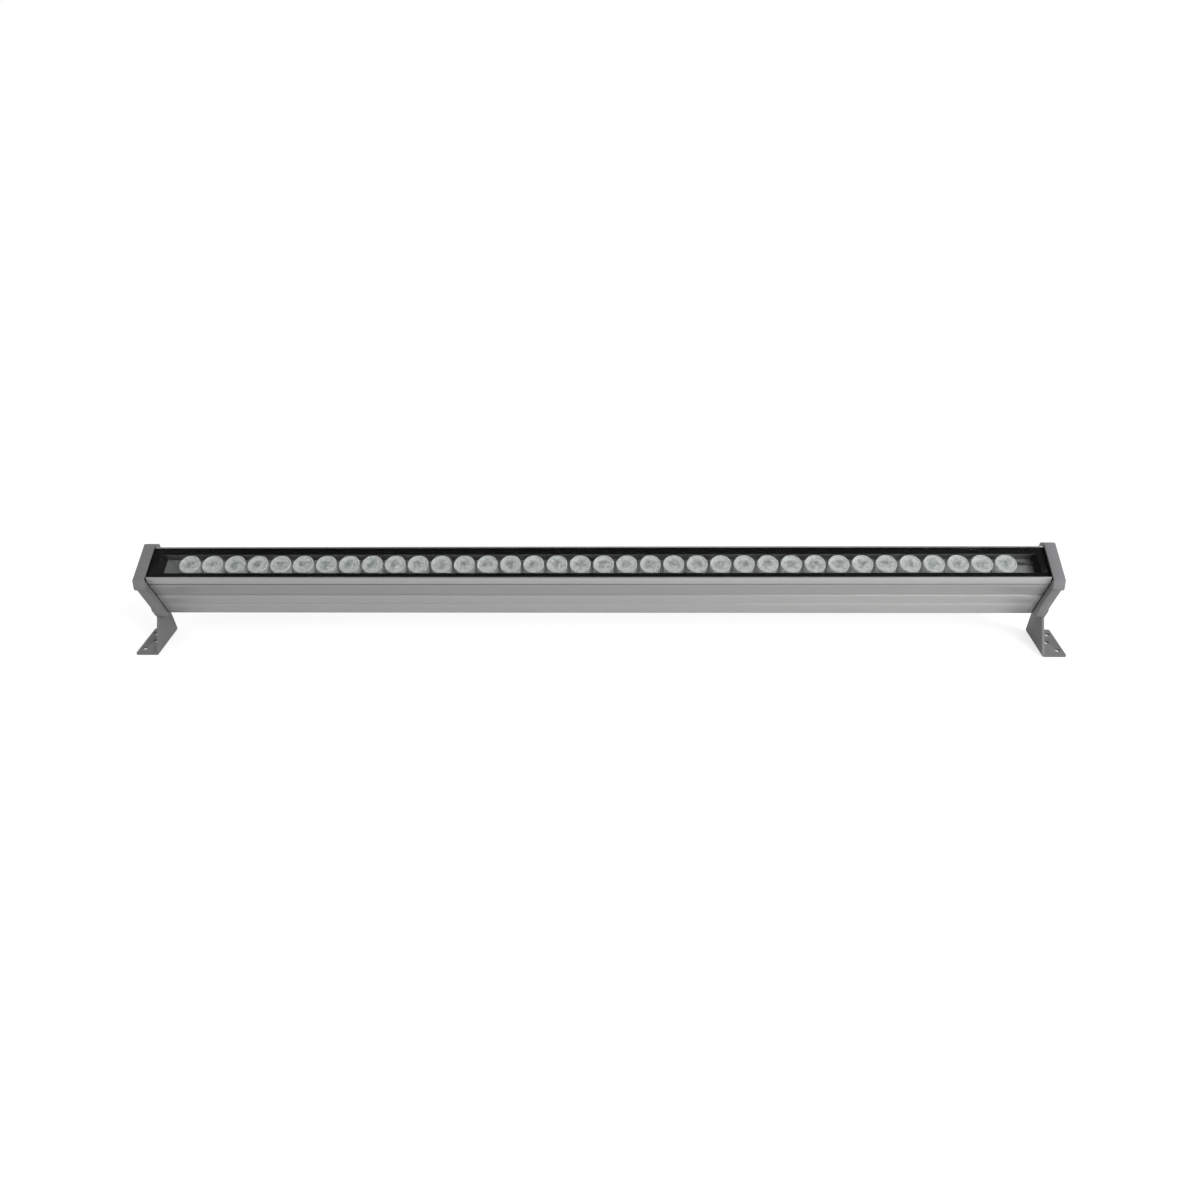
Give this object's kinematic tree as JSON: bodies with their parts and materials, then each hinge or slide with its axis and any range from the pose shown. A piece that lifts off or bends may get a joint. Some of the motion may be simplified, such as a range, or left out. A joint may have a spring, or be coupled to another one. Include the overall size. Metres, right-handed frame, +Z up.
{
  "type": "linear wall washer light",
  "caption": "Long slim outdoor light: square aluminium housing, flat glass over a row of round lenses, end caps on tilting foot brackets.",
  "frame": {"origin": "middle of the rectangle of four outer foot holes, on the surface that the feet are screwed to", "axes": "+X along the light, +Z up from the mounting surface, -Y is the side that the glass leans towards"},
  "size_m": [1.0506, 0.0796, 0.1238],
  "materials": {
    "anodised": "satin anodised",
    "cast_grey": "fine satin powder coat",
    "bracket_steel": "satin grey",
    "cover_glass": "clear toughened glass, gloss",
    "black_rubber": "matt",
    "board_white": "matt solder mask on an aluminium core",
    "emitter": "yellow phosphor in a pale case",
    "clear_optic": "clear moulded acrylic, gloss",
    "zinc_screw": "stainless steel",
    "wire_black": "soft insulation",
    "wire_earth": "soft insulation",
    "wire_brown": "soft insulation",
    "driver_shell": "plain aluminium",
    "circuit_green": "solder mask",
    "winding": "tape over a core",
    "capacitor": "sleeved can",
    "foam": "closed-cell foam",
    "terminal": "moulded nylon",
    "brass": "plain",
    "gland_nylon": "moulded nylon",
    "washer_nylon": "nylon"
  },
  "bodies": {
    "left_bracket": {"bracket_left": "bracket_steel"},
    "head": {"housing_extrusion": "anodised", "glass_cover": "cover_glass", "glass_gasket": "black_rubber", "chamber_end_plugs": "black_rubber", "board_screws": "zinc_screw", "board_link_wires": "wire_black", "board_lead": "wire_black", "web_grommet": "black_rubber", "driver_case": "driver_shell", "driver_cover": "driver_shell", "driver_board": "circuit_green", "driver_transformer": "winding", "driver_capacitors": "capacitor", "driver_foam_stop": "foam", "terminal_block": "terminal", "terminal_screws": "zinc_screw", "driver_input_leads": "wire_brown", "earth_lead": "wire_earth", "earth_lug": "brass", "earth_screw": "zinc_screw", "gland_body": "gland_nylon", "gland_ring": "black_rubber", "gland_seal": "black_rubber", "gland_nut": "gland_nylon", "gland_lock_nut": "gland_nylon", "end_cap_right": "cast_grey", "end_cap_left": "cast_grey", "cap_gasket_right": "black_rubber", "cap_gasket_left": "black_rubber", "cap_screws_right": "zinc_screw", "cap_screws_left": "zinc_screw", "pivot_bolts": "zinc_screw", "pivot_friction_washers": "washer_nylon", "pivot_flat_washers": "zinc_screw", "pivot_spring_washers": "zinc_screw", "led_board_left": "board_white", "led_board_right": "board_white", "led_emitters_left": "emitter", "led_emitters_right": "emitter", "lens_row_left": "clear_optic", "lens_row_right": "clear_optic"},
    "right_bracket": {"bracket_right": "bracket_steel"}
  },
  "joints": [
    {"name": "head_tilt", "type": "hinge", "parent": "left_bracket", "child": "head", "pos_m": [-0.4998, 0.0042, 0.0818], "axis": [1, 0, 0], "range_deg": [-116, 64]},
    {"name": "right_bracket_pivot", "type": "hinge", "parent": "head", "child": "right_bracket", "pos_m": [0.4998, 0.0042, 0.0818], "axis": [1, 0, 0], "range_deg": [-64, 116]}
  ],
  "couplings": [
    {"joint": "right_bracket_pivot", "follows": "head_tilt", "ratio": -1}
  ]
}
